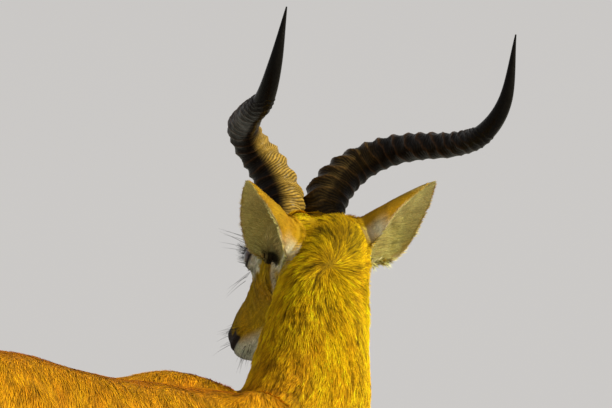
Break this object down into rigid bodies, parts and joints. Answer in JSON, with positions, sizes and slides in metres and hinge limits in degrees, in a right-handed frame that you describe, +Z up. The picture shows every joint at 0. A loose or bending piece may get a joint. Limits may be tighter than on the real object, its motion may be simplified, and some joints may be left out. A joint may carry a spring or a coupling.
{
  "type": "uganda kob antelope",
  "caption": "Life-size still model of an adult male Uganda kob antelope that stands and looks back over its left side.",
  "frame": {"origin": "on the floor, at the middle of the part's box in X and Y", "axes": "+X is the body's heading, +Y its left side, +Z up"},
  "size_m": [1.3556, 0.507, 1.435],
  "materials": {
    "coat": "short, close golden red coat",
    "ear_coat": "thin pale-lined ear",
    "horn": "ringed black horn sheath, smooth at the tip",
    "hoof_horn": "black hoof horn",
    "eye": "wet dark brown"
  },
  "bodies": {
    "root": {"claw_foreleg_left_inner": "hoof_horn", "claw_foreleg_left_outer": "hoof_horn", "claw_foreleg_right_inner": "hoof_horn", "claw_foreleg_right_outer": "hoof_horn", "claw_hindleg_left_inner": "hoof_horn", "claw_hindleg_left_outer": "hoof_horn", "claw_hindleg_right_inner": "hoof_horn", "claw_hindleg_right_outer": "hoof_horn", "ear_left": "ear_coat", "ear_right": "ear_coat", "eye_left": "eye", "eye_right": "eye", "foreleg_left": "coat", "foreleg_right": "coat", "head": "coat", "hindleg_left": "coat", "hindleg_right": "coat", "horn_left": "horn", "horn_right": "horn", "neck": "coat", "tail": "coat", "trunk": "coat"}
  },
  "joints": []
}
